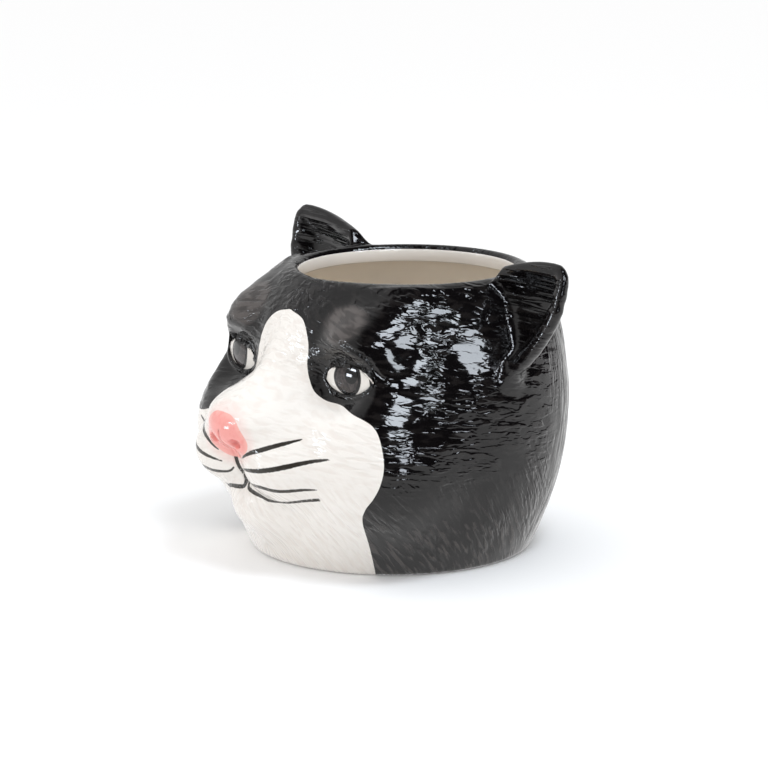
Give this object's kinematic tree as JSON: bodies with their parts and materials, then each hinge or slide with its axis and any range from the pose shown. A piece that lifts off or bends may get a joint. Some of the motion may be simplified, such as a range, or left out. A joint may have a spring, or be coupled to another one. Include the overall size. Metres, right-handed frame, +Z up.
{
  "type": "planter",
  "caption": "Glazed ceramic planter in the form of a black and white cat's head, with upright scooped ears and an open round mouth for a small potted plant.",
  "frame": {"origin": "on the ground under the middle of the planter's bounding box", "axes": "+Z up, the cat faces -Y, the cat's left ear is at +X"},
  "size_m": [0.1588, 0.1313, 0.1071],
  "materials": {
    "black_glaze": "high gloss black glaze",
    "white_glaze": "high gloss warm white glaze",
    "pink_glaze": "gloss salmon pink glaze",
    "eye_glaze": "gloss off-white glaze",
    "iris_glaze": "gloss charcoal glaze",
    "cream_glaze": "gloss cream glaze",
    "bare_clay": "ground unglazed clay"
  },
  "bodies": {
    "root": {"head_shell": "black_glaze", "face_front": "white_glaze", "nose_pad": "pink_glaze", "left_ear": "black_glaze", "right_ear": "black_glaze", "left_eye": "eye_glaze", "right_eye": "eye_glaze", "left_iris": "iris_glaze", "right_iris": "iris_glaze", "rim_collar": "cream_glaze", "inner_lining": "cream_glaze", "pot_floor": "cream_glaze", "foot_ring": "bare_clay"}
  },
  "joints": []
}
